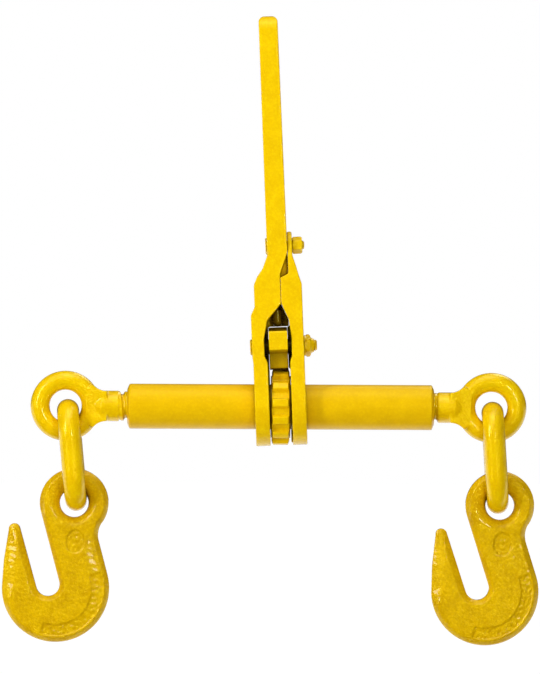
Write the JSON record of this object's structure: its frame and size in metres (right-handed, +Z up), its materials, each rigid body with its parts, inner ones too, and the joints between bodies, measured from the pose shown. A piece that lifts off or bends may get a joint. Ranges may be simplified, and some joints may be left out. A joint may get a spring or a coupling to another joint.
{
  "type": "ratchet load binder",
  "caption": "Ratchet load binder: tapped barrel with opposed eye screws, reversible pawl handle, oval links and eye grab hooks for tightening tie-down chain.",
  "frame": {"origin": "centre of the barrel, on the line of pull", "axes": "+X along the line of pull towards the eye bolt with the left-hand thread, +Z up along the raised handle, +Y towards the back"},
  "size_m": [0.4647, 0.067, 0.5439],
  "materials": {
    "enamel": "glossy yellow enamel over forged and turned steel",
    "forged_enamel": "glossy deep yellow enamel over forged steel",
    "bare_steel": "bare machined steel, lightly oiled",
    "spring_steel": "dark spring steel"
  },
  "bodies": {
    "anchor_screw": {"left_eye_bolt": "enamel", "left_stop_collar": "bare_steel", "left_stop_pin": "spring_steel"},
    "left_link": {"left_link": "enamel"},
    "left_hook": {"left_hook": "forged_enamel"},
    "carrier": {"thrust_washers": "enamel"},
    "barrel": {"barrel_tube": "enamel", "ratchet_gear": "enamel"},
    "handle": {"lever": "enamel", "cheek_plate": "enamel", "clamp_bolt": "enamel", "clamp_nut": "enamel", "pivot_bolt": "enamel", "pivot_nut": "enamel", "pivot_sleeve": "enamel", "detent_spring": "spring_steel"},
    "pawl": {"pawl": "enamel"},
    "plunger": {"detent_plunger": "enamel"},
    "moving_screw": {"right_eye_bolt": "enamel", "right_stop_collar": "bare_steel", "right_stop_pin": "spring_steel"},
    "right_link": {"right_link": "enamel"},
    "right_hook": {"right_hook": "forged_enamel"}
  },
  "joints": [
    {"name": "carrier_slide", "type": "slide", "parent": "anchor_screw", "child": "carrier", "axis": [1, 0, 0], "range_m": [-0.0025, 0.1018]},
    {"name": "barrel_turn", "type": "hinge", "parent": "carrier", "child": "barrel", "pos_m": [0, 0, 0], "axis": [1, 0, 0], "range_deg": [-138.46, 5760]},
    {"name": "handle_swing", "type": "hinge", "parent": "carrier", "child": "handle", "pos_m": [0, 0, 0], "axis": [1, 0, 0], "range_deg": [-193.85, 166.15]},
    {"name": "pawl_rock", "type": "hinge", "parent": "handle", "child": "pawl", "pos_m": [-0.00219, 0, 0.05225], "axis": [0.9991, 0, 0.0419], "range_deg": [-18, 18]},
    {"name": "plunger_slide", "type": "slide", "parent": "handle", "child": "plunger", "axis": [-0.0419, 0, 0.9991], "range_m": [-0.0007, 0.0015], "stiffness_N_per_m": 500, "springref_m": -0.003, "deforming": ["detent_spring"]},
    {"name": "left_link_swing", "type": "hinge", "parent": "anchor_screw", "child": "left_link", "pos_m": [-0.1862, 0, 0], "axis": [0, 1, 0], "range_deg": [-25, 100]},
    {"name": "left_hook_swing", "type": "hinge", "parent": "left_link", "child": "left_hook", "pos_m": [-0.17826, 0, -0.08392], "axis": [0, 1, 0], "range_deg": [-40, 40]},
    {"name": "screw_slide", "type": "slide", "parent": "anchor_screw", "child": "moving_screw", "axis": [1, 0, 0], "range_m": [-0.005, 0.2034]},
    {"name": "right_link_swing", "type": "hinge", "parent": "moving_screw", "child": "right_link", "pos_m": [0.1825, 0, 0], "axis": [0, -1, 0], "range_deg": [-24, 92]},
    {"name": "right_hook_swing", "type": "hinge", "parent": "right_link", "child": "right_hook", "pos_m": [0.19017, 0, -0.08437], "axis": [0, -1, 0], "range_deg": [-40, 40]}
  ],
  "couplings": [
    {"joint": "carrier_slide", "follows": "barrel_turn", "m_per_rad": 0.0010106},
    {"joint": "screw_slide", "follows": "barrel_turn", "m_per_rad": 0.0020213}
  ]
}
